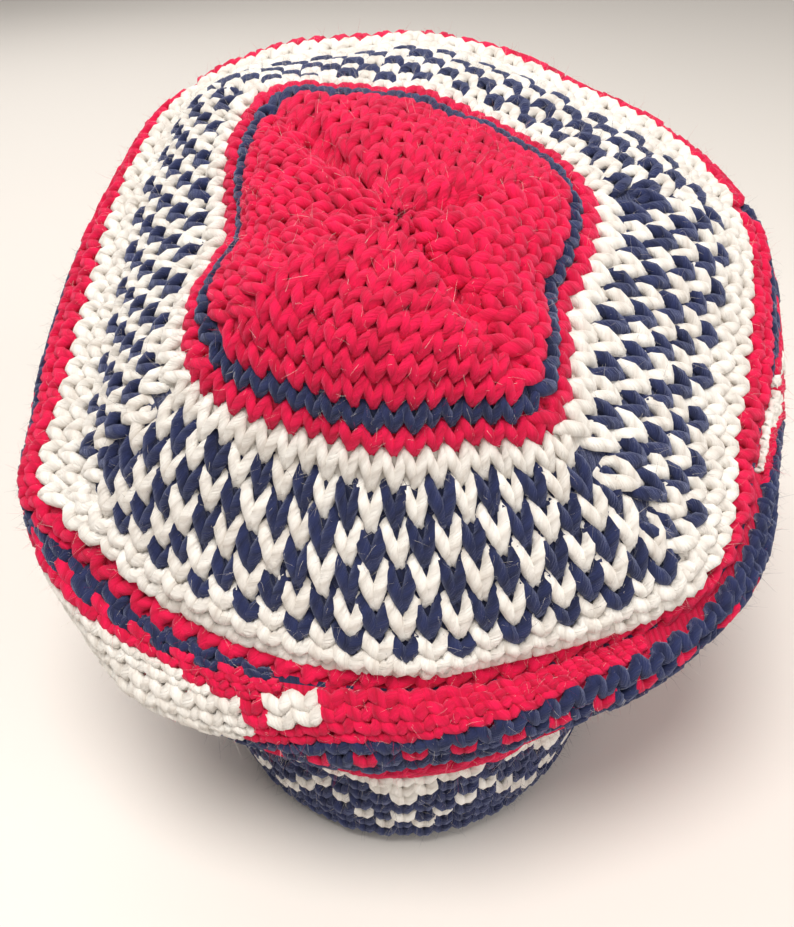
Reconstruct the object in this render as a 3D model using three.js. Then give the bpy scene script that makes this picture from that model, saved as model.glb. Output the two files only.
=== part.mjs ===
// A slouchy knitted hat in millimetres, +Z up, standing on the rim of its band.
// The wall is one sheet of thick knitting, worked round by round from the rim to the crown's middle.
// A round number says how far up the knitting a point lies, and an angle says where round the hat it is.

import * as THREE from 'three';

// Wall and mesh
const wallThickness = 5;
const jointGap = 0.3;
const segmentsAround = 64;
const slopeStep = 0.02;
const angleStep = 0.5;

// Rounds where one part of the hat ends and the next begins
const rimRound = 0;
const bandTopRound = 7;
const sideSplitRound = 14;
const edgeRound = 21;
const squareRound = 31;
const middleRound = 40;

// One row for each shaped round of the hat. The round is an oval of halfWidth and halfDepth about
// x, y, z. It leans back toward -Y by lean degrees and sideways by sway degrees. The four corners
// of the crown stand out by their reach times corner.
const shapeColumns = ['round', 'x', 'y', 'z', 'lean', 'sway', 'halfWidth', 'halfDepth', 'corner'];
const shapeRows = [
  [0.0, -3.0, 0.0, 0.0, 0.0, 0.0, 61.0, 80.0, 0.0],
  [3.5, -3.0, 0.0, 20.0, 0.0, 0.0, 65.5, 84.0, 0.0],
  [7.0, -2.5, 0.0, 41.5, 0.5, 0.0, 71.5, 87.0, 0.0],
  [9.0, -2.0, 1.5, 53.0, 2.5, -1.0, 82.0, 91.5, 0.0],
  [12.0, -1.0, 4.0, 69.0, 8.0, -2.0, 96.5, 96.5, 0.0],
  [15.0, 0.0, 7.5, 85.5, 14.5, -1.5, 106.5, 101.5, 0.1],
  [17.5, 0.5, 14.5, 105.0, 21.0, -0.5, 109.5, 109.0, 0.3],
  [19.0, 0.5, 21.0, 114.5, 24.5, 0.0, 108.5, 113.5, 0.35],
  [20.3, 0.5, 24.0, 122.0, 27.0, 0.0, 104.5, 115.0, 0.4],
  [21.5, 1.0, 21.5, 127.0, 27.5, 0.5, 98.0, 115.0, 0.4],
  [23.5, 0.5, 14.5, 130.5, 27.5, 0.0, 85.0, 104.0, 0.55],
  [26.0, -1.5, 7.5, 140.5, 26.5, 0.5, 70.5, 88.0, 0.7],
  [28.5, -3.5, 1.0, 149.0, 24.5, 2.0, 53.0, 71.5, 0.9],
  [30.0, -4.0, -3.5, 154.0, 22.5, 3.0, 43.5, 63.0, 0.95],
  [31.5, -4.0, -8.0, 158.5, 21.0, 3.0, 38.0, 55.0, 0.95],
  [34.0, -3.5, -14.5, 164.0, 19.0, 2.5, 29.0, 42.0, 0.8],
  [37.0, -2.0, -18.5, 166.5, 18.0, 1.5, 16.5, 23.0, 0.4],
  [40.0, -0.5, -20.0, 166.0, 19.5, 0.0, 0.0, 0.0, 0.0],
];

// One row for each corner of the crown, where the decreases of the knitting line up
const cornerColumns = ['name', 'angle', 'spread', 'reach'];
const cornerRows = [
  ['rightBack', -47, 17, 0.225],
  ['rightFront', 13, 21.5, 0.305],
  ['leftFront', 132, 20, 0.23],
  ['leftBack', 211, 20.5, 0.24],
];

// One row for each fold or dent. It is strongest at its angle and round and dies away over its
// spreads. It moves the wall outward by push and off the face of its round by lift.
const foldColumns = ['name', 'angle', 'angleSpread', 'round', 'roundSpread', 'push', 'lift'];
const foldRows = [
  ['slackLeftBack', 226, 22, 13, 4, 7, 0],
  ['slackRightBack', -36, 22, 13, 4, 5, 0],
  ['edgeTip', 207, 9, 21, 2.2, 9, 0],
  ['squareNotch', 180, 14, 30, 2.5, -5, 0],
  ['creaseLeftFront', 131, 11, 36, 2.6, 0, -4],
  ['creaseRightBack', -47, 13, 36, 3.0, 0, -5],
  ['creaseRightFront', 14, 9, 37.5, 1.6, 0, -3.5],
  ['ridgeLeftBack', 210, 13, 35.5, 2.8, 0, 3.5],
  ['puffBack', 262, 26, 34.5, 2.6, 0, 2.5],
];

// One row for each part of the hat, from the rim to the crown's middle
const partColumns = ['name', 'firstRound', 'lastRound', 'rows', 'color'];
const partRows = [
  ['band', rimRound, bandTopRound, 5, 0x262b55],
  ['lower_side', bandTopRound, sideSplitRound, 7, 0xc01f3e],
  ['upper_side', sideSplitRound, edgeRound, 9, 0x262b55],
  ['crown_ring', edgeRound, squareRound, 10, 0xe6ded3],
  ['crown_centre', squareRound, middleRound, 8, 0xd21440],
];

const toRecords = (columns, rows) =>
  rows.map((row) => Object.fromEntries(columns.map((column, place) => [column, row[place]])));

const shapes = toRecords(shapeColumns, shapeRows);
const corners = toRecords(cornerColumns, cornerRows);
const folds = toRecords(foldColumns, foldRows);
const parts = toRecords(partColumns, partRows);

const halfTurn = 180;
const fullTurn = 360;
const wrapAngle = (angle) => ((((angle + halfTurn) % fullTurn) + fullTurn) % fullTurn) - halfTurn;

const bell = (distance, spread) => Math.exp(-((distance / spread) ** 2));

// Slope of a column at each row: the mean of the slopes on both sides, the nearer side counting more
function rowSlopes(column) {
  const last = shapes.length - 1;
  const steps = [];
  for (let i = 0; i < last; i += 1) {
    const span = shapes[i + 1].round - shapes[i].round;
    steps.push({ span, slope: (shapes[i + 1][column] - shapes[i][column]) / span });
  }
  return shapes.map((_, i) => {
    if (i === 0) return steps[0].slope;
    if (i === last) return steps[last - 1].slope;
    const before = steps[i - 1];
    const after = steps[i];
    return (before.slope * after.span + after.slope * before.span) / (before.span + after.span);
  });
}

const slopes = Object.fromEntries(shapeColumns.map((column) => [column, rowSlopes(column)]));

// Value of a column at any round, on a smooth cubic through the rows
function shapeAt(column, round) {
  let i = shapes.length - 2;
  while (i > 0 && shapes[i].round > round) i -= 1;
  const span = shapes[i + 1].round - shapes[i].round;
  const t = (round - shapes[i].round) / span;
  const start = shapes[i][column];
  const end = shapes[i + 1][column];
  const rise = t * t * (3 - 2 * t);
  const leave = t * (1 - t) ** 2 * span * slopes[column][i];
  const arrive = t * t * (t - 1) * span * slopes[column][i + 1];
  return start + (end - start) * rise + leave + arrive;
}

// Middle of the wall at an angle and a round
function wallPoint(angle, round) {
  const turn = THREE.MathUtils.degToRad(angle);
  const corner = shapeAt('corner', round);
  const halfWidth = shapeAt('halfWidth', round);
  let stretch = 1;
  for (const row of corners) {
    stretch += corner * row.reach * bell(wrapAngle(angle - row.angle), row.spread);
  }
  let lift = 0;
  for (const row of folds) {
    const around = bell(wrapAngle(angle - row.angle), row.angleSpread);
    const share = around * bell(round - row.round, row.roundSpread);
    stretch += (row.push * share) / Math.max(halfWidth, 1);
    lift += row.lift * share;
  }
  const point = new THREE.Vector3(
    halfWidth * stretch * Math.cos(turn),
    shapeAt('halfDepth', round) * stretch * Math.sin(turn),
    lift,
  );
  point.applyAxisAngle(new THREE.Vector3(0, 1, 0), THREE.MathUtils.degToRad(shapeAt('sway', round)));
  point.applyAxisAngle(new THREE.Vector3(1, 0, 0), THREE.MathUtils.degToRad(shapeAt('lean', round)));
  return point.add(new THREE.Vector3(shapeAt('x', round), shapeAt('y', round), shapeAt('z', round)));
}

// Direction up the knitting, in millimetres for each round
function upTheWall(angle, round) {
  const low = Math.max(round - slopeStep, rimRound);
  const high = Math.min(round + slopeStep, middleRound);
  return wallPoint(angle, high).sub(wallPoint(angle, low)).divideScalar(high - low);
}

// Outward direction of the wall
function outOfTheWall(angle, round) {
  const along = wallPoint(angle + angleStep, round).sub(wallPoint(angle - angleStep, round));
  return along.cross(upTheWall(angle, round)).normalize();
}

// Both faces of the wall at an angle and a round. The rim's edge is flat on the ground.
function wallFaces(angle, round, seamShift) {
  const climb = upTheWall(angle, round);
  const middle = wallPoint(angle, round + seamShift / climb.length());
  const out = outOfTheWall(angle, round);
  if (round === rimRound) out.setZ(0).normalize();
  const outer = middle.clone().addScaledVector(out, wallThickness / 2);
  const inner = middle.clone().addScaledVector(out, -wallThickness / 2);
  return { outer, inner };
}

// Closed wall between two rounds: an outer face, an inner face and an edge at each open end
function wallGeometry(firstRound, lastRound, rows) {
  const positions = [];
  const triangles = [];
  const closes = lastRound === middleRound;
  const ringRows = closes ? rows : rows + 1;
  const outerAt = (row, segment) => (row * segmentsAround + (segment % segmentsAround)) * 2;
  const innerAt = (row, segment) => outerAt(row, segment) + 1;
  const quad = (a, b, c, d) => triangles.push(a, b, c, a, c, d);

  for (let row = 0; row < ringRows; row += 1) {
    const round = firstRound + ((lastRound - firstRound) * row) / rows;
    let seamShift = 0;
    if (row === 0 && firstRound !== rimRound) seamShift = jointGap / 2;
    if (row === rows) seamShift = -jointGap / 2;
    for (let segment = 0; segment < segmentsAround; segment += 1) {
      const { outer, inner } = wallFaces((segment * fullTurn) / segmentsAround, round, seamShift);
      positions.push(outer.x, outer.y, outer.z, inner.x, inner.y, inner.z);
    }
  }
  for (let segment = 0; segment < segmentsAround; segment += 1) {
    const next = segment + 1;
    for (let row = 0; row < ringRows - 1; row += 1) {
      quad(outerAt(row, segment), outerAt(row, next), outerAt(row + 1, next), outerAt(row + 1, segment));
      quad(innerAt(row, next), innerAt(row, segment), innerAt(row + 1, segment), innerAt(row + 1, next));
    }
    quad(innerAt(0, segment), innerAt(0, next), outerAt(0, next), outerAt(0, segment));
  }
  const top = ringRows - 1;
  if (closes) {
    const middle = wallPoint(0, middleRound);
    const out = new THREE.Vector3(0, 0, wallThickness / 2);
    out.applyAxisAngle(new THREE.Vector3(1, 0, 0), THREE.MathUtils.degToRad(shapeAt('lean', middleRound)));
    const outerTip = positions.length / 3;
    positions.push(...middle.clone().add(out).toArray(), ...middle.clone().sub(out).toArray());
    for (let segment = 0; segment < segmentsAround; segment += 1) {
      triangles.push(outerAt(top, segment), outerAt(top, segment + 1), outerTip);
      triangles.push(innerAt(top, segment + 1), innerAt(top, segment), outerTip + 1);
    }
  } else {
    for (let segment = 0; segment < segmentsAround; segment += 1) {
      const next = segment + 1;
      quad(outerAt(top, next), innerAt(top, next), innerAt(top, segment), outerAt(top, segment));
    }
  }
  const geometry = new THREE.BufferGeometry();
  geometry.setAttribute('position', new THREE.Float32BufferAttribute(positions, 3));
  geometry.setIndex(triangles);
  geometry.computeVertexNormals();
  return geometry;
}

const hat = new THREE.Group();
for (const part of parts) {
  const material = new THREE.MeshStandardMaterial({ color: part.color, roughness: 0.9, metalness: 0 });
  const wall = new THREE.Mesh(wallGeometry(part.firstRound, part.lastRound, part.rows), material);
  wall.name = part.name;
  hat.add(wall);
}

// The origin is on the ground, under the middle of the hat's box
const box = new THREE.Box3().setFromObject(hat);
const centre = box.getCenter(new THREE.Vector3());
hat.position.set(-centre.x, -centre.y, 0);

export default hat;
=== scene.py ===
import math

import bpy
import numpy as np
from mathutils import Matrix, Vector


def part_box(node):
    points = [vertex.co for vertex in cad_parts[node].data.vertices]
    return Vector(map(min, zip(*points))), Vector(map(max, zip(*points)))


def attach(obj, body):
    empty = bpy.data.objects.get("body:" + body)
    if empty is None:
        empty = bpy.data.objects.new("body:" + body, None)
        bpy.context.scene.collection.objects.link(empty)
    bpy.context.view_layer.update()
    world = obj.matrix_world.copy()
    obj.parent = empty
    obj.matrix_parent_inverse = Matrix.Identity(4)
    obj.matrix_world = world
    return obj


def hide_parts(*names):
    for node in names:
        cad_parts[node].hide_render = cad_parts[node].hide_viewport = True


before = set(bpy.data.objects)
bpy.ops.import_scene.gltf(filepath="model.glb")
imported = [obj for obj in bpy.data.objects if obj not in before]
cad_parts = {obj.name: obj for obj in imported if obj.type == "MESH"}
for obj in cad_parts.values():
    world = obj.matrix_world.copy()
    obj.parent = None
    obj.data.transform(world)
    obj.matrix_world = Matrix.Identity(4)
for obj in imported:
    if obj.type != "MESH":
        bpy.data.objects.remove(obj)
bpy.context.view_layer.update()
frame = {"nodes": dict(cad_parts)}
print("frame loaded:", ", ".join(frame["nodes"]))

millimetre = 0.001
fullTurn = 360.0
halfTurn = 180.0
bandTop = 7        # first round above the band
foldRound = 21     # first round of the crown

# The hat's wall, as the part's source gives it, in millimetres and degrees.
# A round is an oval that leans back and sways sideways, and its four corners stand out.
hatShape = {
    "columns": ["round", "x", "y", "z", "lean", "sway", "halfWidth", "halfDepth", "corner"],
    "rows": [
        [0.0, -3.0, 0.0, 0.0, 0.0, 0.0, 61.0, 80.0, 0.0],
        [3.5, -3.0, 0.0, 20.0, 0.0, 0.0, 65.5, 84.0, 0.0],
        [7.0, -2.5, 0.0, 41.5, 0.5, 0.0, 71.5, 87.0, 0.0],
        [9.0, -2.0, 1.5, 53.0, 2.5, -1.0, 82.0, 91.5, 0.0],
        [12.0, -1.0, 4.0, 69.0, 8.0, -2.0, 96.5, 96.5, 0.0],
        [15.0, 0.0, 7.5, 85.5, 14.5, -1.5, 106.5, 101.5, 0.1],
        [17.5, 0.5, 14.5, 105.0, 21.0, -0.5, 109.5, 109.0, 0.3],
        [19.0, 0.5, 21.0, 114.5, 24.5, 0.0, 108.5, 113.5, 0.35],
        [20.3, 0.5, 24.0, 122.0, 27.0, 0.0, 104.5, 115.0, 0.4],
        [21.5, 1.0, 21.5, 127.0, 27.5, 0.5, 98.0, 115.0, 0.4],
        [23.5, 0.5, 14.5, 130.5, 27.5, 0.0, 85.0, 104.0, 0.55],
        [26.0, -1.5, 7.5, 140.5, 26.5, 0.5, 70.5, 88.0, 0.7],
        [28.5, -3.5, 1.0, 149.0, 24.5, 2.0, 53.0, 71.5, 0.9],
        [30.0, -4.0, -3.5, 154.0, 22.5, 3.0, 43.5, 63.0, 0.95],
        [31.5, -4.0, -8.0, 158.5, 21.0, 3.0, 38.0, 55.0, 0.95],
        [34.0, -3.5, -14.5, 164.0, 19.0, 2.5, 29.0, 42.0, 0.8],
        [37.0, -2.0, -18.5, 166.5, 18.0, 1.5, 16.5, 23.0, 0.4],
        [40.0, -0.5, -20.0, 166.0, 19.5, 0.0, 0.0, 0.0, 0.0],
    ],
    # name, angle, spread, reach
    "corners": [
        ["rightBack", -47, 17, 0.225],
        ["rightFront", 13, 21.5, 0.305],
        ["leftFront", 132, 20, 0.23],
        ["leftBack", 211, 20.5, 0.24],
    ],
    # name, angle, angleSpread, round, roundSpread, push, lift
    "folds": [
        ["slackLeftBack", 226, 22, 13, 4, 7, 0],
        ["slackRightBack", -36, 22, 13, 4, 5, 0],
        ["edgeTip", 207, 9, 21, 2.2, 9, 0],
        ["squareNotch", 180, 14, 30, 2.5, -5, 0],
        ["creaseLeftFront", 131, 11, 36, 2.6, 0, -4],
        ["creaseRightBack", -47, 13, 36, 3.0, 0, -5],
        ["creaseRightFront", 14, 9, 37.5, 1.6, 0, -3.5],
        ["ridgeLeftBack", 210, 13, 35.5, 2.8, 0, 3.5],
        ["puffBack", 262, 26, 34.5, 2.6, 0, 2.5],
    ],
}

# The band sits a little to the left of the rows' origin
bandMiddle = -2.5 * millimetre
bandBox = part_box("band")
rimCentre = np.array([
    (bandBox[0].x + bandBox[1].x) / 2 - bandMiddle,
    (bandBox[0].y + bandBox[1].y) / 2,
    0.0,
])

shapeTable = np.array(hatShape["rows"], float)
shapeRounds = shapeTable[:, 0]
shapeSpans = np.diff(shapeRounds)


def rowSlopes(values):
    steps = np.diff(values) / shapeSpans
    inner = steps[:-1] * shapeSpans[1:] + steps[1:] * shapeSpans[:-1]
    inner = inner / (shapeSpans[:-1] + shapeSpans[1:])
    return np.concatenate([steps[:1], inner, steps[-1:]])


shapeSlopes = {name: rowSlopes(shapeTable[:, k]) for k, name in enumerate(hatShape["columns"])}


def shapeAt(column, rounds):
    values = shapeTable[:, hatShape["columns"].index(column)]
    slopes = shapeSlopes[column]
    i = np.clip(np.searchsorted(shapeRounds, rounds, side="right") - 1, 0, len(shapeSpans) - 1)
    span = shapeSpans[i]
    t = (rounds - shapeRounds[i]) / span
    rise = t * t * (3 - 2 * t)
    leave = t * (1 - t) ** 2 * span * slopes[i]
    arrive = t * t * (t - 1) * span * slopes[i + 1]
    return values[i] + (values[i + 1] - values[i]) * rise + leave + arrive


def wrapAngle(angle):
    return (angle + halfTurn) % fullTurn - halfTurn


def bell(distance, spread):
    return np.exp(-((distance / spread) ** 2))


def smoothStep(low, high, value):
    t = np.clip((value - low) / (high - low), 0.0, 1.0)
    return t * t * (3 - 2 * t)


# Middle of the wall at an angle and a round, in metres
def wallPoint(angle, rounds):
    corner = shapeAt("corner", rounds)
    halfWidth = shapeAt("halfWidth", rounds)
    stretch = np.ones(np.broadcast(angle, rounds).shape)
    lift = np.zeros_like(stretch)
    for _, cornerAngle, spread, reach in hatShape["corners"]:
        stretch = stretch + corner * reach * bell(wrapAngle(angle - cornerAngle), spread)
    for _, foldAngle, angleSpread, atRound, roundSpread, push, foldLift in hatShape["folds"]:
        share = bell(wrapAngle(angle - foldAngle), angleSpread) * bell(rounds - atRound, roundSpread)
        stretch = stretch + push * share / np.maximum(halfWidth, 1.0)
        lift = lift + foldLift * share
    turn = np.radians(angle)
    x = halfWidth * stretch * np.cos(turn)
    y = shapeAt("halfDepth", rounds) * stretch * np.sin(turn)
    sway = np.radians(shapeAt("sway", rounds))
    lean = np.radians(shapeAt("lean", rounds))
    swayedX = x * np.cos(sway) + lift * np.sin(sway)
    swayedZ = lift * np.cos(sway) - x * np.sin(sway)
    leanedY = y * np.cos(lean) - swayedZ * np.sin(lean)
    leanedZ = y * np.sin(lean) + swayedZ * np.cos(lean)
    point = np.stack([
        swayedX + shapeAt("x", rounds),
        leanedY + shapeAt("y", rounds),
        leanedZ + shapeAt("z", rounds),
    ], -1)
    return point * millimetre + rimCentre


def unit(vectors):
    length = np.linalg.norm(vectors, axis=-1, keepdims=True)
    return vectors / np.maximum(length, 1e-12)


# Outward direction of the wall, from small steps up and along it
def wallNormal(angle, rounds):
    upStep, alongStep = 0.03, 0.6
    top, aboveTop = 39.9, 39.97    # just short of the crown's middle, where all angles meet
    aboveRim = 0.1
    low = np.clip(rounds - upStep, 0.0, top)
    high = np.clip(rounds + upStep, aboveRim, aboveTop)
    middle = np.clip(rounds, 0.0, top)
    up = wallPoint(angle, high) - wallPoint(angle, low)
    along = wallPoint(angle + alongStep, middle) - wallPoint(angle - alongStep, middle)
    return unit(np.cross(along, up))


# Where the rounds of the knitting lie on the wall. Under the fold at the back most rounds of the
# upper half lie hidden in the crease, and elsewhere the fold turns before the white rounds.
gathering = {
    "rounds": [7, 8, 9, 10, 11, 15, 20, 21, 24, 29, 31],
    # angle, then the place on the wall of each of those rounds but the first and the last
    "rows": [
        [-180, 7.9, 8.8, 9.8, 10.7, 14.5, 19.9, 21.7, 24.5, 29.3],
        [-150, 7.9, 8.8, 9.8, 10.7, 15.0, 20.0, 21.4, 24.2, 29.3],
        [-125, 7.8, 8.6, 9.6, 10.8, 15.8, 18.6, 20.2, 23.4, 29.3],
        [-95, 7.9, 8.8, 12.0, 14.4, 18.6, 18.9, 20.0, 23.2, 29.4],
        [-80, 8.5, 10.5, 13.5, 16.0, 18.8, 19.1, 20.2, 23.3, 29.4],
        [-65, 10.5, 12.5, 14.8, 17.6, 19.1, 19.4, 20.5, 23.5, 29.4],
        [-45, 13.3, 15.0, 16.6, 18.8, 19.4, 19.6, 20.7, 23.8, 29.3],
        [-20, 12.0, 14.3, 16.0, 18.2, 19.2, 19.5, 21.0, 24.1, 29.3],
        [15, 7.9, 8.8, 9.8, 10.7, 14.8, 20.1, 21.6, 24.5, 29.3],
        [60, 7.9, 8.8, 9.8, 10.7, 14.5, 19.7, 21.9, 24.6, 29.3],
        [180, 7.9, 8.8, 9.8, 10.7, 14.5, 19.9, 21.7, 24.5, 29.3],
    ],
}
quarterRound = 0.25
gatherEnds = (7.0, 31.0)
gatherRounds = np.arange(7.0, 31.01, quarterRound)
gatherAngles = np.linspace(-halfTurn, halfTurn, 121)


# The gathering worked out for each quarter round at many angles
def gatherTable():
    rows = np.array(gathering["rows"], float)
    share = np.clip(np.searchsorted(rows[:, 0], gatherAngles, side="right") - 1, 0, len(rows) - 2)
    part = (gatherAngles - rows[share, 0]) / (rows[share + 1, 0] - rows[share, 0])
    part = (part * part * (3 - 2 * part))[:, None]
    places = rows[share, 1:] * (1 - part) + rows[share + 1, 1:] * part
    low, high = gatherEnds
    known = gathering["rounds"]
    return np.array([np.interp(gatherRounds, known, [low, *row, high]) for row in places])


gathered = gatherTable()


# Where a round of the knitting lies on the wall
def settledRound(angle, rounds):
    angle, rounds = np.broadcast_arrays(angle, rounds)
    first, final = gatherEnds
    last = len(gatherAngles) - 1
    across = np.clip((wrapAngle(angle) + halfTurn) / fullTurn * last, 0, last - 0.001)
    along = np.clip((rounds - first) / quarterRound, 0, len(gatherRounds) - 1.001)
    i, j = across.astype(int), along.astype(int)
    p, q = across - i, along - j
    low = gathered[i, j] * (1 - p) + gathered[i + 1, j] * p
    high = gathered[i, j + 1] * (1 - p) + gathered[i + 1, j + 1] * p
    return np.where((rounds <= first) | (rounds >= final), rounds, low * (1 - q) + high * q)


# Narrow creases of the red square: angle, spread, round, spread in rounds, depth
crownCreases = [
    [129, 8, 35.3, 2.3, 3.6],
    [-50, 10, 36.2, 2.4, 3.4],
    [14, 9, 37.2, 1.6, 2.4],
    [206, 9, 37.4, 1.4, 1.6],
]

# Soft waves in the wall: height in millimetres, waves round the hat, turn for each round, start
softWaves = [
    [0.5, 5, 0.55, 0.0],
    [0.4, 9, -0.8, 1.3],
    [0.35, 14, 0.37, 4.0],
]
waveStart = (1.0, 8.0)    # rounds over which the waves grow, above the level rim


# The wall with the soft waves of hand knitting
def softWall(angle, rounds):
    place = settledRound(angle, rounds)
    normal = wallNormal(angle, place)
    turn = np.radians(angle)
    out = np.zeros(turn.shape)
    for height, count, twist, start in softWaves:
        out = out + height * np.sin(count * turn + twist * place + start)
    out = out * smoothStep(*waveStart, place)
    for creaseAngle, spread, atRound, roundSpread, depth in crownCreases:
        share = bell(wrapAngle(angle - creaseAngle), spread) * bell(place - atRound, roundSpread)
        out = out - depth * share
    out = out[..., None] * millimetre
    return wallPoint(angle, place) + normal * out, normal


# How many stitches each side of the hat has, round by round, between the corners' decreases
stitchCounts = {
    "band": [22, 14, 24, 20],
    "rounds": [7, 12, 18, 22, 31, 40],
    "sides": [
        [28, 30, 30, 26, 18, 1],     # back
        [20, 22, 21, 18, 10, 1],     # right
        [30, 32, 31, 28, 20, 1],     # far side
        [26, 28, 27, 24, 16, 1],     # left
    ],
}
startAngle = hatShape["corners"][3][1] - fullTurn
cornerAngles = [startAngle] + [row[1] for row in hatShape["corners"][:3]]

roundGrid = np.arange(0.0, 40.01, quarterRound)
angleGrid = startAngle + np.linspace(0.0, fullTurn, 721)
girthGrid = np.linspace(0.0, 1.0, 1441)
lastGirth = 39.6    # above this round the crown closes to a point


# Tables that turn a share of a round's girth into an angle
def girthTables():
    angles, rounds = np.meshgrid(angleGrid, np.minimum(roundGrid, lastGirth))
    points, _ = softWall(angles, rounds)
    steps = np.linalg.norm(np.diff(points, axis=1), axis=-1)
    travelled = np.concatenate([np.zeros((len(roundGrid), 1)), np.cumsum(steps, axis=1)], axis=1)
    shares = travelled / travelled[:, -1:]
    corners = cornerAngles + [startAngle + fullTurn]
    angles = np.array([np.interp(girthGrid, row, angleGrid) for row in shares])
    places = np.array([np.interp(corners, angleGrid, row) for row in shares])
    return angles, places


angleTable, cornerTable = girthTables()


def stitchCount(side, rounds, isBand):
    if isBand:
        return np.full(np.shape(rounds), float(stitchCounts["band"][side]))
    return np.interp(rounds, stitchCounts["rounds"], stitchCounts["sides"][side])


# Angle of a column on one side of the hat, counted from the middle of that side
def columnAngle(side, column, rounds, isBand):
    share = 0.5 + column / stitchCount(side, rounds, isBand)
    row = np.clip(rounds / quarterRound, 0, len(roundGrid) - 1.001)
    low = row.astype(int)
    part = row - low
    start = cornerTable[low, side] * (1 - part) + cornerTable[low + 1, side] * part
    end = cornerTable[low, side + 1] * (1 - part) + cornerTable[low + 1, side + 1] * part
    girth = (start + (end - start) * share) % 1.0
    place = girth * (len(girthGrid) - 1)
    near = np.minimum(place.astype(int), len(girthGrid) - 2)
    blend = place - near
    lower = angleTable[low, near] * (1 - blend) + angleTable[low, near + 1] * blend
    upper = angleTable[low + 1, near] * (1 - blend) + angleTable[low + 1, near + 1] * blend
    return lower * (1 - part) + upper * part


navy, red, white = 0, 1, 2

# The chart: a colour for each plain round, and a row of letters, repeated along it, for each
# patterned one. The crown's checks lie between its white rounds.
colourChart = {
    "letters": {"n": navy, "r": red, "w": white},
    "plain": {
        7: red, 8: navy, 10: navy, 11: red, 17: red, 19: navy, 20: red,
        21: white, 22: white, 28: white, 29: red, 30: navy,
    },
    "band": {
        0: "nnnnnnnn",
        1: "nnnwnwnn",
        2: "nnwnwnwn",
        3: "nwnnnnnw",
        4: "wnnnwnnn",
        5: "nnnwwwnn",
        6: "nwwwwwww",
    },
    "side": {
        9: "rn",
        12: "rwwrrrrr",
        13: "wwwwrrrr",
        14: "wwwwrrww",
        15: "rwwwwrww",
        16: "wwwwwwrw",
        18: "rn",
    },
    "checks": (23, 27),
    # the wide blocks of the back, 0, and of the left side, 3, in place of the repeat
    "blocks": {
        0: {
            11: "wwwwwrwwwrrrrrrrrrrrrrrrrrrrrr",
            12: "wwwwwwwwwwrrrrrrrrrrrrrrrrrrrr",
            13: "wwwwwwwwwwrwwrrrrrrrrrrrrrrrrr",
            14: "wwwwwwwwwwrwwrrrrrrrrrrrrrrrrr",
            15: "wwwwwwwwwrrrrrrrrrrrrrrrrrrrrr",
            16: "wwwwwwwwrrrrrrrrrrrrrrrrrrrrrr",
        },
        3: {
            11: "rrwwwwrr",
            12: "wwwwwwwr",
            13: "wwwwwwww",
            14: "wwwwwwww",
            15: "wwwwwwww",
            16: "wrwwwwww",
        },
    },
}


def stitchColour(atRound, side, column, order):
    chart = colourChart
    firstCheck, lastCheck = chart["checks"]
    if atRound in chart["band"]:
        text = chart["band"][atRound]
        return chart["letters"][text[order % len(text)]]
    if side in chart["blocks"] and atRound in chart["blocks"][side]:
        text = chart["blocks"][side][atRound]
        return chart["letters"][text[(column + len(text) // 2) % len(text)]]
    if atRound in chart["side"]:
        text = chart["side"][atRound]
        return chart["letters"][text[order % len(text)]]
    if atRound in chart["plain"]:
        return chart["plain"][atRound]
    if firstCheck <= atRound <= lastCheck:
        return navy if (column + atRound) % 2 == 0 else white
    return red


# One loop of yarn. Sway is in stitches, middle and reach are in rounds, depth and inset are in
# millimetres, and heightSpare and radius are in metres.
loopShape = {
    "points": 15,
    "sides": 7,
    "sway": 2.05,
    "middle": 0.62,
    "reach": 0.76,
    "depth": 1.3,
    "inset": 0.5,
    "thickness": 0.3,            # yarn radius as a share of the stitch's width
    "headThickness": 0.66,
    "headFall": 1.6,             # how fast the yarn thins towards the head and the feet
    "heightShare": 1.1,          # a low stitch has thinner yarn
    "heightSpare": 0.0026,
    "radius": (0.0009, 0.0026),
    "rimStart": 0.62,            # round where the band's first loops begin
    "lastRound": 39.7,
}
wobble = {"across": 0.035, "up": 0.05, "depth": 0.18, "thickness": 0.05}

# Heights in metres. A taller stitch becomes two short ones, as short rows would give, and a
# lower one is left out, because it is squeezed out of sight in the crease.
stitchHeights = {"tall": 0.0082, "squeezed": 0.0012}
roundingShare = 0.35    # below a half, so that fewer end columns pass their side's corner line
dice = np.random.default_rng(20)


# Every stitch of some rounds: its round, side, column, whether it is in the band, its colour
# and its rise in rounds
def listStitches(first, last):
    rows = []
    for atRound in range(first, last):
        isBand = atRound < bandTop
        order = 0
        for side in range(4):
            exact = float(stitchCount(side, np.array([atRound + 0.5]), isBand)[0])
            count = max(2, 2 * int(math.floor(exact / 2 + roundingShare)))
            columns = np.arange(-count // 2, count // 2)
            starts = np.full(len(columns), float(atRound))
            base = columnAngle(side, columns + 0.5, starts + 0.5, isBand)
            rise = softWall(base, starts + 1.0)[0] - softWall(base, starts)[0]
            for k, height in zip(columns, np.linalg.norm(rise, axis=-1)):
                colour = stitchColour(atRound, side, int(k), order)
                parts = 2 if height > stitchHeights["tall"] and atRound < foldRound else 1
                for part in range(parts):
                    start = atRound + part / parts
                    rows.append((start, side, k + 0.5, isBand, colour, 1.0 / parts))
                order += 1
    return rows


def wallDistance(fromAngle, fromRound, toAngle, toRound):
    apart = softWall(toAngle, toRound)[0] - softWall(fromAngle, fromRound)[0]
    return np.linalg.norm(apart, axis=-1)


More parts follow.
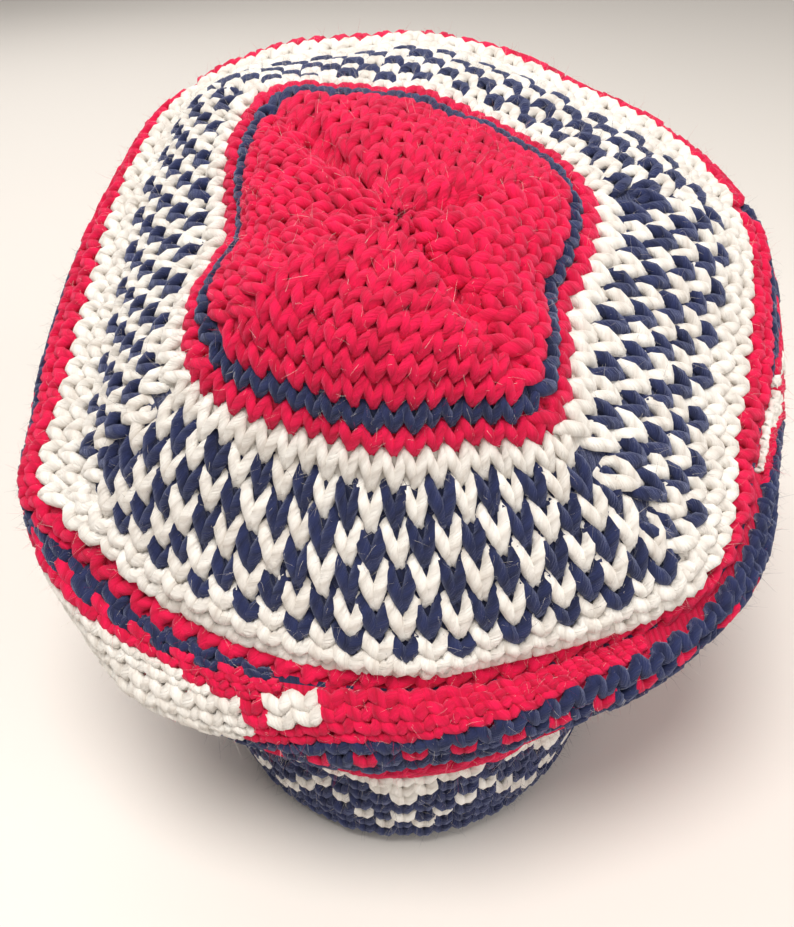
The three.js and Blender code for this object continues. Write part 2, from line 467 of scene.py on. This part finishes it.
# Points, outward directions and radii of the yarn of each stitch
def loopPaths(stitches):
    s = loopShape
    t = np.linspace(-math.pi, math.pi, s["points"])
    across = (t + s["sway"] * np.sin(2 * t)) / (2 * math.pi)
    up = s["middle"] + s["reach"] * np.cos(t)
    depth = -s["depth"] * np.cos(2 * t) - s["inset"]
    head = np.abs(np.cos(t)) ** s["headFall"]
    thick = 1.0 - (1.0 - s["headThickness"]) * head
    centres, normals, radii, kept = [], [], [], []
    for isBand in (True, False):
        for side in range(4):
            group = [i for i, row in enumerate(stitches) if row[1] == side and row[3] == isBand]
            if not group:
                continue
            n = len(group)
            rounds = np.array([stitches[i][0] for i in group], float)[:, None]
            columns = np.array([stitches[i][2] for i in group])[:, None]
            rise = np.array([stitches[i][5] for i in group])[:, None]
            width = 1 + wobble["thickness"] * dice.standard_normal((n, 1))
            shiftAcross = wobble["across"] * dice.standard_normal((n, 1))
            shiftUp = wobble["up"] * dice.standard_normal((n, 1))
            shiftDepth = wobble["depth"] * dice.standard_normal((n, 1))
            v = np.clip(rounds + (up + shiftUp) * rise, 0.0, s["lastRound"])
            if isBand:
                v = s["rimStart"] + v * (bandTop - s["rimStart"]) / bandTop
            angle = columnAngle(side, columns + across * width + shiftAcross, v, isBand)
            point, normal = softWall(angle, v)
            middle = rounds + 0.5 * rise
            left = columnAngle(side, columns - 0.5, middle, isBand)
            right = columnAngle(side, columns + 0.5, middle, isBand)
            base = columnAngle(side, columns, middle, isBand)
            pitch = wallDistance(left, middle, right, middle)
            height = wallDistance(base, rounds, base, rounds + rise)
            radius = s["thickness"] * np.minimum(pitch, s["heightShare"] * height + s["heightSpare"])
            radius = np.clip(radius, *s["radius"]) * width
            point = point + normal * ((depth + shiftDepth) * millimetre)[..., None]
            centres.append(point)
            normals.append(normal)
            radii.append(radius * thick[None, :])
            squeezed = (height[:, 0] < stitchHeights["squeezed"]) & (rounds[:, 0] > bandTop)
            kept.append((np.array(group), ~squeezed))
    order = np.concatenate([pair[0] for pair in kept])
    keep = np.concatenate([pair[1] for pair in kept])
    return (np.concatenate(centres)[keep], np.concatenate(normals)[keep],
            np.concatenate(radii)[keep], order[keep])


# A mesh from arrays, with its uv map, its tone and a material for each face
def arrayMesh(name, points, faces, uvs, tones, slots):
    mesh = bpy.data.meshes.new(name)
    size = faces.shape[1]
    mesh.vertices.add(len(points))
    mesh.vertices.foreach_set("co", points.astype(np.float32).ravel())
    mesh.loops.add(faces.size)
    mesh.loops.foreach_set("vertex_index", faces.astype(np.int32).ravel())
    mesh.polygons.add(len(faces))
    mesh.polygons.foreach_set("loop_start", np.arange(0, faces.size, size, dtype=np.int32))
    for wool in wools:
        mesh.materials.append(wool)
    mesh.polygons.foreach_set("material_index", slots.astype(np.int32))
    mesh.update(calc_edges=True)
    layer = mesh.uv_layers.new(name="yarn")
    layer.data.foreach_set("uv", uvs.astype(np.float32).ravel())
    tone = mesh.attributes.new("tone", "FLOAT", "POINT")
    tone.data.foreach_set("value", tones.astype(np.float32))
    mesh.polygons.foreach_set("use_smooth", np.ones(len(faces), bool))
    mesh.validate()
    piece = bpy.data.objects.new(name, mesh)
    bpy.context.collection.objects.link(piece)
    return piece


yarnLengthSpread = 40.0    # millimetres, so that no two stitches show the same fibres


# Tubes of yarn round the paths
def yarnPiece(name, stitches):
    centres, normals, radii, order = loopPaths(stitches)
    n, points = centres.shape[:2]
    sides = loopShape["sides"]
    along = unit(np.gradient(centres, axis=1))
    across = unit(np.cross(along, normals))
    out = np.cross(across, along)
    turn = np.linspace(0, 2 * math.pi, sides, endpoint=False) - math.pi / 2
    ring = (np.cos(turn)[None, None, :, None] * across[:, :, None, :]
            + np.sin(turn)[None, None, :, None] * out[:, :, None, :])
    cloud = centres[:, :, None, :] + ring * radii[:, :, None, None]
    index = np.arange(n * points * sides).reshape(n, points, sides)
    nextSide = np.roll(index, -1, axis=2)
    faces = np.stack([index[:, :-1], nextSide[:, :-1], nextSide[:, 1:], index[:, 1:]], -1)
    steps = np.linalg.norm(np.diff(centres, axis=1), axis=-1)
    length = np.concatenate([np.zeros((n, 1)), np.cumsum(steps, axis=1)], axis=1)
    length = length / millimetre + dice.random((n, 1)) * yarnLengthSpread
    aroundShare = np.arange(sides) / sides
    u0 = np.broadcast_to(length[:, :-1, None], (n, points - 1, sides))
    u1 = np.broadcast_to(length[:, 1:, None], (n, points - 1, sides))
    w0 = np.broadcast_to(aroundShare[None, None, :], (n, points - 1, sides))
    w1 = w0 + 1.0 / sides
    uvs = np.stack([np.stack([u0, w0], -1), np.stack([u0, w1], -1),
                    np.stack([u1, w1], -1), np.stack([u1, w0], -1)], 3)
    colours = np.array([stitches[i][4] for i in order])
    slots = np.repeat(colours, (points - 1) * sides)
    tone = np.repeat(dice.random(n), points * sides)
    faces, uvs = faces.reshape(-1, 4), uvs.reshape(-1, 2)
    piece = arrayMesh(name, cloud.reshape(-1, 3), faces, uvs, tone, slots)
    return piece, centres, normals, radii, colours


fibreLook = {
    "ring": 1.7,              # width of the noise round the yarn
    "along": 0.22,            # noise for each millimetre of yarn
    "scale": 1.6,
    "detail": 3.0,
    "roughness": 0.65,
    "height": (0.45, 0.9),    # share of the plies, share of the fibres
    # painted shade: shares of the plies and of the fibres in the darkening of the grooves and low
    # fibres
    "paintedShade": (0.35, 0.65),
}


# Fibres and plies of a soft wool yarn, as a height and a painted shade, darker in the ply grooves
# and over the low fibres. The uv map runs along the yarn in millimetres and once round it.
def yarnGroup():
    look = fibreLook
    tree = bpy.data.node_groups.new("yarn fibres", "ShaderNodeTree")
    face = tree.interface
    for name, start in (("Plies", 2.0), ("Twist", 0.11), ("Fibre Size", 1.0)):
        socket = face.new_socket(name=name, in_out="INPUT", socket_type="NodeSocketFloat")
        socket.default_value = start
    for name in ("Height", "PaintedShade"):
        face.new_socket(name=name, in_out="OUTPUT", socket_type="NodeSocketFloat")
    nodes, links = tree.nodes, tree.links
    given = nodes.new("NodeGroupInput")
    result = nodes.new("NodeGroupOutput")
    uv = nodes.new("ShaderNodeUVMap")
    uv.uv_map = "yarn"
    split = nodes.new("ShaderNodeSeparateXYZ")
    links.new(uv.outputs["UV"], split.inputs[0])

    def maths(kind, first, second=None):
        node = nodes.new("ShaderNodeMath")
        node.operation = kind
        for k, value in enumerate((first, second)):
            if value is None:
                continue
            if isinstance(value, (int, float)):
                node.inputs[k].default_value = value
            else:
                links.new(value, node.inputs[k])
        return node.outputs[0]

    spin = maths("MULTIPLY", split.outputs["X"], given.outputs["Twist"])
    phase = maths("ADD", split.outputs["Y"], spin)
    plyTurn = maths("MULTIPLY", maths("MULTIPLY", phase, given.outputs["Plies"]), math.pi)
    ply = maths("ABSOLUTE", maths("SINE", plyTurn))
    wide = nodes.new("ShaderNodeCombineXYZ")
    angle = maths("MULTIPLY", phase, 2 * math.pi)
    links.new(maths("MULTIPLY", maths("COSINE", angle), look["ring"]), wide.inputs[0])
    links.new(maths("MULTIPLY", maths("SINE", angle), look["ring"]), wide.inputs[1])
    links.new(maths("MULTIPLY", split.outputs["X"], look["along"]), wide.inputs[2])
    fibres = nodes.new("ShaderNodeTexNoise")
    fibres.inputs["Detail"].default_value = look["detail"]
    fibres.inputs["Roughness"].default_value = look["roughness"]
    links.new(wide.outputs[0], fibres.inputs["Vector"])
    links.new(maths("MULTIPLY", given.outputs["Fibre Size"], look["scale"]), fibres.inputs["Scale"])
    # the shade output is painted shade: the lower plies and fibres get the darker colour
    for output, shares in (("Height", look["height"]), ("PaintedShade", look["paintedShade"])):
        plyPart = maths("MULTIPLY", ply, shares[0])
        fibrePart = maths("MULTIPLY", fibres.outputs["Fac"], shares[1])
        links.new(maths("ADD", plyPart, fibrePart), result.inputs[output])
    return tree


yarnFibres = yarnGroup()

# Each wool's dark colour is painted shade in the ply grooves and between the fibres, and also the
# dark end of the random stitch tone
woolLooks = {
    "navy_wool": {
        "shadedDark": (0.004, 0.006, 0.028),
        "light": (0.018, 0.026, 0.095),
        "sheen": (0.5, 0.55, 0.8),
    },
    "red_wool": {
        "shadedDark": (0.40, 0.002, 0.024),
        "light": (0.82, 0.005, 0.072),
        "sheen": (1.0, 0.2, 0.35),
    },
    "white_wool": {
        "shadedDark": (0.62, 0.56, 0.50),
        "light": (0.95, 0.92, 0.87),
        "sheen": (1.0, 0.97, 0.93),
    },
}
woolSurface = {
    "Roughness": 0.88,
    "Specular IOR Level": 0.25,
    "Sheen Weight": 0.5,
    "Sheen Roughness": 0.5,
}
woolShading = {"toneShare": 0.30, "darkest": 0.25, "bumpStrength": 0.9, "bumpDistance": 0.0006}


def woolMaterial(name, look):
    material = bpy.data.materials.new(name)
    material.use_nodes = True
    nodes, links = material.node_tree.nodes, material.node_tree.links
    shader = nodes["Principled BSDF"]
    fibres = nodes.new("ShaderNodeGroup")
    fibres.node_tree = yarnFibres
    tone = nodes.new("ShaderNodeAttribute")
    tone.attribute_name = "tone"
    # The colour runs from dark to light by the random stitch tone and by painted shade in the ply
    # grooves and between the fibres
    blend = nodes.new("ShaderNodeMath")
    blend.operation = "MULTIPLY_ADD"
    blend.inputs[1].default_value = woolShading["toneShare"]
    links.new(tone.outputs["Fac"], blend.inputs[0])
    links.new(fibres.outputs["PaintedShade"], blend.inputs[2])
    ramp = nodes.new("ShaderNodeMapRange")
    ramp.inputs["From Min"].default_value = woolShading["darkest"]
    ramp.inputs["From Max"].default_value = 1.0
    links.new(blend.outputs[0], ramp.inputs["Value"])
    colour = nodes.new("ShaderNodeMix")
    colour.data_type = "RGBA"
    colour.inputs["A"].default_value = (*look["shadedDark"], 1)
    colour.inputs["B"].default_value = (*look["light"], 1)
    links.new(ramp.outputs["Result"], colour.inputs["Factor"])
    links.new(colour.outputs["Result"], shader.inputs["Base Color"])
    bump = nodes.new("ShaderNodeBump")
    bump.inputs["Strength"].default_value = woolShading["bumpStrength"]
    bump.inputs["Distance"].default_value = woolShading["bumpDistance"]
    links.new(fibres.outputs["Height"], bump.inputs["Height"])
    links.new(bump.outputs["Normal"], shader.inputs["Normal"])
    for socket, value in woolSurface.items():
        shader.inputs[socket].default_value = value
    shader.inputs["Sheen Tint"].default_value = (*look["sheen"], 1)
    return material


wools = [woolMaterial(name, look) for name, look in woolLooks.items()]
print("wool materials made")

# The five knitted zones, and the rounds of each piece of yarn that stands for one
zones = {
    "band": {"rounds": [(0, 7)], "slot": "navy_wool"},
    "lower_side": {"rounds": [(7, 11), (11, 14)], "slot": "red_wool"},
    "upper_side": {"rounds": [(14, 17), (17, 21)], "slot": "navy_wool"},
    "crown_ring": {"rounds": [(21, 31)], "slot": "white_wool"},
    "crown_centre": {"rounds": [(31, 40)], "slot": "red_wool"},
}

strands = []
for node, zone in zones.items():
    for count, (first, last) in enumerate(zone["rounds"]):
        stitches = listStitches(first, last)
        name = f"{node}_stitches_{count + 1}"
        piece, centres, normals, radii, colours = yarnPiece(name, stitches)
        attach(piece, "root")
        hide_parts(node)
        strands.append((centres, normals, radii, colours))
        print(name, len(colours), "stitches,", len(piece.data.polygons) * 2, "triangles")

# A thin sheet in the middle of the knitting, so that no light shows between the stitches
backing = {
    "around": 192,
    "rows": 88,
    "ends": (0.35, 39.4),
    "depth": -0.2,
    "thickness": 0.5,
    "uvShare": 0.3,
    "colours": "nnnnnnnrnnrrrrrrrrnnrwwnnnnnwrnrrrrrrrrr",     # one letter for each round
}


def backingPiece():
    b = backing
    rounds = np.linspace(*b["ends"], b["rows"])
    angles = startAngle + np.arange(b["around"]) * fullTurn / b["around"]
    grid, turn = np.meshgrid(rounds, angles, indexing="ij")
    middle, normal = softWall(turn, grid)
    outer = middle + normal * (b["depth"] * millimetre)
    inner = outer - normal * (b["thickness"] * millimetre)
    rows, around = grid.shape
    points = np.concatenate([outer.reshape(-1, 3), inner.reshape(-1, 3)])
    inside = rows * around
    index = np.arange(inside).reshape(rows, around)
    side = np.roll(index, -1, axis=1)
    out = np.stack([index[:-1], side[:-1], side[1:], index[1:]], -1).reshape(-1, 4)
    back = out[:, ::-1] + inside
    rim = np.stack([index[0], index[0] + inside, side[0] + inside, side[0]], -1)
    tip = np.stack([index[-1], side[-1], side[-1] + inside, index[-1] + inside], -1)
    faces = np.concatenate([out, back, rim, tip])
    letters = [b["colours"][int(r)] for r in grid[:-1, 0]]
    colours = np.repeat([colourChart["letters"][letter] for letter in letters], around)
    slots = np.concatenate([colours, colours, np.zeros(2 * around, int)])
    uvs = np.zeros((len(faces), 4, 2))
    uvs[..., 0] = points[faces][..., 2] / millimetre
    uvs[..., 1] = points[faces][..., 0] / millimetre * b["uvShare"]
    tone = np.zeros(len(points))
    return arrayMesh("backing_sheet", points, faces, uvs.reshape(-1, 2), tone, slots)


sheetPiece = backingPiece()
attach(sheetPiece, "root")
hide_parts(*zones)
print("backing made")

# Loose fibres that stand off the yarn
fuzz = {
    "perStitch": 13,
    "steps": 2,
    "endPoints": 3,          # points at each end of a loop that carry no fibre
    "lean": 1.25,
    "slant": 1.6,
    "rootDepth": 0.9,        # share of the yarn's radius where a fibre starts
    "length": (1.0, 3.6),
    "curl": 0.9,
    "width": 0.032,
    "tip": 0.25,
    # white fibres on any colour are painted light, standing for the pale glow of backlit fuzz
    "paintedBacklight": 0.2,             # share of the fibres that are white on any colour
    "floor": 0.0004,
    "seed": 7,
}


def fuzzPiece():
    f = fuzz
    seeded = np.random.default_rng(f["seed"])
    centres = np.concatenate([s[0] for s in strands])
    normals = np.concatenate([s[1] for s in strands])
    radii = np.concatenate([s[2] for s in strands])
    colours = np.concatenate([s[3] for s in strands])
    n, points = centres.shape[:2]
    pick = np.repeat(np.arange(n), f["perStitch"])
    at = seeded.integers(f["endPoints"], points - f["endPoints"], len(pick))
    start = centres[pick, at]
    out = normals[pick, at]
    along = unit(centres[pick, at + 1] - centres[pick, at - 1])
    across = unit(np.cross(along, out))
    lean = seeded.uniform(-f["lean"], f["lean"], (len(pick), 1))
    outward = out * np.cos(lean) + across * np.sin(lean)
    heading = unit(outward + along * seeded.uniform(-f["slant"], f["slant"], (len(pick), 1)))
    start = start + outward * radii[pick, at][:, None] * f["rootDepth"]
    length = seeded.uniform(*f["length"], (len(pick), 1)) * millimetre
    drift = unit(seeded.standard_normal((len(pick), 3)))
    ribs = []
    for k in range(f["steps"] + 1):
        share = k / f["steps"]
        ribs.append(start + length * (heading * share + drift * share * share * f["curl"]))
    ribs = np.stack(ribs, 1)
    wide = unit(np.cross(heading, drift))[:, None, :] * (f["width"] * millimetre)
    taper = np.linspace(1.0, f["tip"], f["steps"] + 1)[None, :, None]
    cloud = np.stack([ribs - wide * taper, ribs + wide * taper], 2)
    count = len(pick)
    index = np.arange(count * (f["steps"] + 1) * 2).reshape(count, f["steps"] + 1, 2)
    faces = np.stack([index[:, :-1, 0], index[:, :-1, 1], index[:, 1:, 1], index[:, 1:, 0]], -1)
    faces = faces.reshape(-1, 4)
    # fibres made white on any colour: painted light for the pale glow of backlit fuzz
    paintedBacklight = seeded.random(count) < f["paintedBacklight"]
    slots = np.repeat(np.where(paintedBacklight, white, colours[pick]), f["steps"])
    uvs = np.zeros((len(faces), 4, 2))
    tone = np.repeat(seeded.random(count), (f["steps"] + 1) * 2)
    ends = cloud.reshape(-1, 3)
    ends[:, 2] = np.maximum(ends[:, 2], f["floor"])
    return arrayMesh("wool_fuzz", ends, faces, uvs.reshape(-1, 2), tone, slots)


fuzzFibres = fuzzPiece()
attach(fuzzFibres, "root")
print("fuzz made:", len(fuzzFibres.data.polygons) * 2, "triangles")

# Floor, light and camera
studio = {
    "floorSize": 6.0,
    "floorColour": (0.74, 0.70, 0.66),
    "floorRoughness": 0.85,
    "skyColour": (1.0, 0.97, 0.93),
    "skyStrength": 0.38,
    "lights": [
        # name, place, aim, size, power, colour
        ["key", (-0.15, -0.25, 1.35), (0.0, 0.0, 0.1), 0.8, 17.5, (1.0, 0.97, 0.93)],
        ["fill", (0.9, -0.7, 0.7), (0.0, 0.0, 0.1), 0.9, 5.5, (1.0, 0.97, 0.94)],
        ["back", (-0.5, 1.0, 0.9), (0.0, 0.0, 0.12), 0.9, 5.5, (1.0, 0.98, 0.95)],
    ],
}
viewpoint = {
    "pitch": 35.4,
    "distance": 0.2582,
    "aim": (-0.00346, -0.025, 0.0965),     # from the rim's centre
    "roll": -2.12,
    "focalPixels": 909.0,
    "frameWidth": 794.0,
    "sensor": 36.0,
    "clipStart": 0.01,
}


def makeFloor():
    half = studio["floorSize"] / 2
    mesh = bpy.data.meshes.new("floor")
    corners = [(-half, -half, 0), (half, -half, 0), (half, half, 0), (-half, half, 0)]
    mesh.from_pydata(corners, [], [(0, 1, 2, 3)])
    floor = bpy.data.objects.new("floor", mesh)
    bpy.context.collection.objects.link(floor)
    material = bpy.data.materials.new("pale_floor")
    material.use_nodes = True
    shader = material.node_tree.nodes["Principled BSDF"]
    shader.inputs["Base Color"].default_value = (*studio["floorColour"], 1)
    shader.inputs["Roughness"].default_value = studio["floorRoughness"]
    mesh.materials.append(material)


def makeLights():
    for name, place, aim, size, power, colour in studio["lights"]:
        lamp = bpy.data.lights.new(name, "AREA")
        lamp.shape = "DISK"
        lamp.size = size
        lamp.energy = power
        lamp.color = colour
        holder = bpy.data.objects.new(name, lamp)
        bpy.context.collection.objects.link(holder)
        holder.location = place
        heading = Vector(aim) - Vector(place)
        holder.rotation_euler = heading.to_track_quat("-Z", "Y").to_euler()
    world = bpy.data.worlds.new("studio")
    bpy.context.scene.world = world
    world.use_nodes = True
    sky = world.node_tree.nodes["Background"]
    sky.inputs["Color"].default_value = (*studio["skyColour"], 1)
    sky.inputs["Strength"].default_value = studio["skyStrength"]


def makeCamera():
    v = viewpoint
    lens = bpy.data.cameras.new("camera")
    lens.sensor_fit = "HORIZONTAL"
    lens.sensor_width = v["sensor"]
    lens.lens = v["focalPixels"] / v["frameWidth"] * v["sensor"]
    lens.clip_start = v["clipStart"]
    holder = bpy.data.objects.new("camera", lens)
    bpy.context.collection.objects.link(holder)
    pitch = math.radians(v["pitch"])
    roll = math.radians(v["roll"])
    forward = Vector((0, math.cos(pitch), -math.sin(pitch)))
    level = Vector((1, 0, 0))
    upright = level.cross(forward)
    right = level * math.cos(roll) + upright * math.sin(roll)
    up = upright * math.cos(roll) - level * math.sin(roll)
    place = Vector(v["aim"]) + Vector(rimCentre) - forward * v["distance"]
    turn = Matrix((right, up, -forward)).transposed().to_4x4()
    holder.matrix_world = Matrix.Translation(place) @ turn
    bpy.context.scene.camera = holder


makeFloor()
makeLights()
makeCamera()
bpy.context.scene.view_settings.view_transform = "Standard"
print("studio ready")
